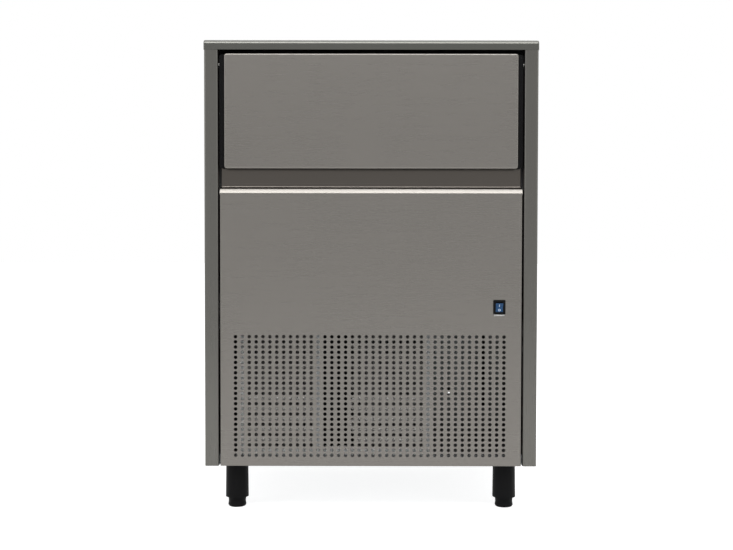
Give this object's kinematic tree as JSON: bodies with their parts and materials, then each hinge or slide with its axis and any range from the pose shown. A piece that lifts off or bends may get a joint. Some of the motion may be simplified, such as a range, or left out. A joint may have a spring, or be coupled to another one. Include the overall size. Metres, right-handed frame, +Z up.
{
  "type": "ice cube machine",
  "caption": "Undercounter stainless ice cube machine: up-and-over bin door over a perforated lower panel with a rocker switch, on adjustable feet.",
  "frame": {"origin": "on the floor, under the middle of the cabinet's outline", "axes": "+Z up, front faces -Y, +X to the right seen from the front"},
  "size_m": [0.842, 0.742, 1.19],
  "materials": {
    "stainless": "satin brushed stainless steel sheet",
    "galvanised": "galvanised steel sheet",
    "foam": "black rigid foam",
    "liner_plastic": "white moulded plastic",
    "black_plastic": "black moulded plastic, fine texture",
    "blue_plastic": "translucent blue plastic",
    "fin_aluminium": "mill aluminium",
    "black_paint": "black paint, semi-gloss",
    "rubber": "black rubber",
    "copper": "drawn copper tube",
    "tinned_copper": "tinned copper",
    "grey_plastic": "grey moulded plastic",
    "curtain_plastic": "pale moulded plastic"
  },
  "bodies": {
    "cabinet": {"back_panel": "galvanised", "base_pan": "galvanised", "bin_drain": "grey_plastic", "bin_insulation": "foam", "bin_liner": "liner_plastic", "cable_gland": "black_plastic", "compressor": "black_paint", "compressor_mounts": "rubber", "condenser_frame": "galvanised", "control_box": "grey_plastic", "curtain_rod": "stainless", "discharge_line": "copper", "drain_hose": "rubber", "drain_outlet": "grey_plastic", "evaporator_coil": "copper", "evaporator_cover": "grey_plastic", "evaporator_cups": "tinned_copper", "fan_arms": "galvanised", "fan_motors": "black_paint", "fan_shroud": "black_plastic", "filter_drier": "copper", "front_panel": "stainless", "ice_chute": "grey_plastic", "left_condenser": "fin_aluminium", "left_door_track": "liner_plastic", "left_side_panel": "stainless", "leg_tubes": "black_plastic", "liquid_line": "copper", "overflow_pipe": "grey_plastic", "pump_casing": "grey_plastic", "pump_motor": "black_paint", "right_condenser": "fin_aluminium", "right_door_track": "liner_plastic", "right_side_panel": "stainless", "sill_panel": "stainless", "spray_chamber": "grey_plastic", "spray_manifold": "grey_plastic", "suction_line": "copper", "switch_housing": "black_plastic", "top_insulation": "foam", "top_panel": "stainless", "water_basin": "grey_plastic", "water_hose": "rubber", "water_inlet_valve": "grey_plastic"},
    "door_carriage": {"door_axle": "stainless", "door_slide_blocks": "liner_plastic"},
    "door": {"door_skin": "stainless", "door_inner": "black_plastic"},
    "switch_button": {"switch_rocker": "blue_plastic"},
    "left_fan_rotor": {"left_fan": "fin_aluminium"},
    "right_fan_rotor": {"right_fan": "fin_aluminium"},
    "pump_rotor": {"pump_impeller": "grey_plastic"},
    "front_left_foot_body": {"front_left_foot": "black_plastic"},
    "front_right_foot_body": {"front_right_foot": "black_plastic"},
    "rear_left_foot_body": {"rear_left_foot": "black_plastic"},
    "rear_right_foot_body": {"rear_right_foot": "black_plastic"},
    "slat_1": {"curtain_slat_1": "curtain_plastic"},
    "slat_2": {"curtain_slat_2": "curtain_plastic"},
    "slat_3": {"curtain_slat_3": "curtain_plastic"},
    "slat_4": {"curtain_slat_4": "curtain_plastic"}
  },
  "joints": [
    {"name": "door_slide", "type": "slide", "parent": "cabinet", "child": "door_carriage", "axis": [0, 1, 0], "range_m": [0, 0.25]},
    {"name": "door_tilt", "type": "hinge", "parent": "door_carriage", "child": "door", "pos_m": [0, -0.351, 1.13], "axis": [-1, 0, 0], "range_deg": [0, 90]},
    {"name": "switch_press", "type": "hinge", "parent": "cabinet", "child": "switch_button", "pos_m": [0.3246, -0.363, 0.519], "axis": [-1, 0, 0], "range_deg": [0, 20]},
    {"name": "left_fan_spin", "type": "hinge", "parent": "cabinet", "child": "left_fan_rotor", "pos_m": [-0.23, -0.25, 0.311], "axis": [0, 1, 0], "continuous": true},
    {"name": "right_fan_spin", "type": "hinge", "parent": "cabinet", "child": "right_fan_rotor", "pos_m": [0.0494, -0.25, 0.311], "axis": [0, 1, 0], "continuous": true},
    {"name": "pump_spin", "type": "hinge", "parent": "cabinet", "child": "pump_rotor", "pos_m": [0.33, 0.1, 0.93], "axis": [0, 0, 1], "continuous": true},
    {"name": "front_left_foot_height", "type": "slide", "parent": "cabinet", "child": "front_left_foot_body", "axis": [0, 0, -1], "range_m": [0, 0.035]},
    {"name": "front_right_foot_height", "type": "slide", "parent": "cabinet", "child": "front_right_foot_body", "axis": [0, 0, -1], "range_m": [0, 0.035]},
    {"name": "rear_left_foot_height", "type": "slide", "parent": "cabinet", "child": "rear_left_foot_body", "axis": [0, 0, -1], "range_m": [0, 0.035]},
    {"name": "rear_right_foot_height", "type": "slide", "parent": "cabinet", "child": "rear_right_foot_body", "axis": [0, 0, -1], "range_m": [0, 0.035]},
    {"name": "slat_1_swing", "type": "hinge", "parent": "cabinet", "child": "slat_1", "pos_m": [0, -0.054, 1.028], "axis": [-1, 0, 0], "range_deg": [0, 75]},
    {"name": "slat_2_swing", "type": "hinge", "parent": "cabinet", "child": "slat_2", "pos_m": [0, -0.054, 1.028], "axis": [-1, 0, 0], "range_deg": [0, 75]},
    {"name": "slat_3_swing", "type": "hinge", "parent": "cabinet", "child": "slat_3", "pos_m": [0, -0.054, 1.028], "axis": [-1, 0, 0], "range_deg": [0, 75]},
    {"name": "slat_4_swing", "type": "hinge", "parent": "cabinet", "child": "slat_4", "pos_m": [0, -0.054, 1.028], "axis": [-1, 0, 0], "range_deg": [0, 75]}
  ],
  "couplings": [
    {"joint": "door_slide", "follows": "door_tilt", "m_per_rad": 0.15915}
  ]
}
